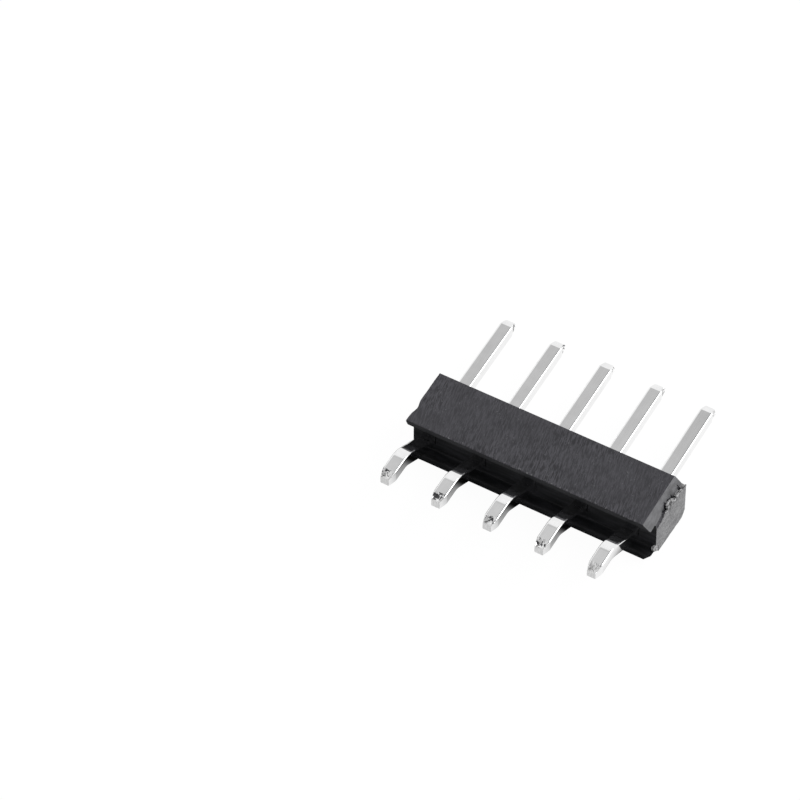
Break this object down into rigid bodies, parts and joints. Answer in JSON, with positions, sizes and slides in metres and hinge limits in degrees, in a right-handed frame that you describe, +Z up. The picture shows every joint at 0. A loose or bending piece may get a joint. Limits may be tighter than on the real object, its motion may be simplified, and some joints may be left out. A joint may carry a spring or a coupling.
{
  "type": "pin header strip",
  "caption": "Single-row pin header strip: a black moulded insulator holds square tinned posts, straight for mating on one side and kinked into flat solder tails on the other.",
  "frame": {"origin": "on the flat lower face that the strip rests on, under the middle post, halfway across the upper face", "axes": "+X along the row of posts, +Y the way the straight mating posts point, +Z up, the side to which the solder tails are kinked"},
  "size_m": [0.0124, 0.0116, 0.0029],
  "materials": {
    "insulator": "black glass-filled moulding, satin, with fine streaks along the post direction",
    "tinned_wire": "square wire with bright tin plate"
  },
  "bodies": {
    "root": {"insulator": "insulator", "pin_1": "tinned_wire", "pin_2": "tinned_wire", "pin_3": "tinned_wire", "pin_4": "tinned_wire", "pin_5": "tinned_wire"}
  },
  "joints": []
}
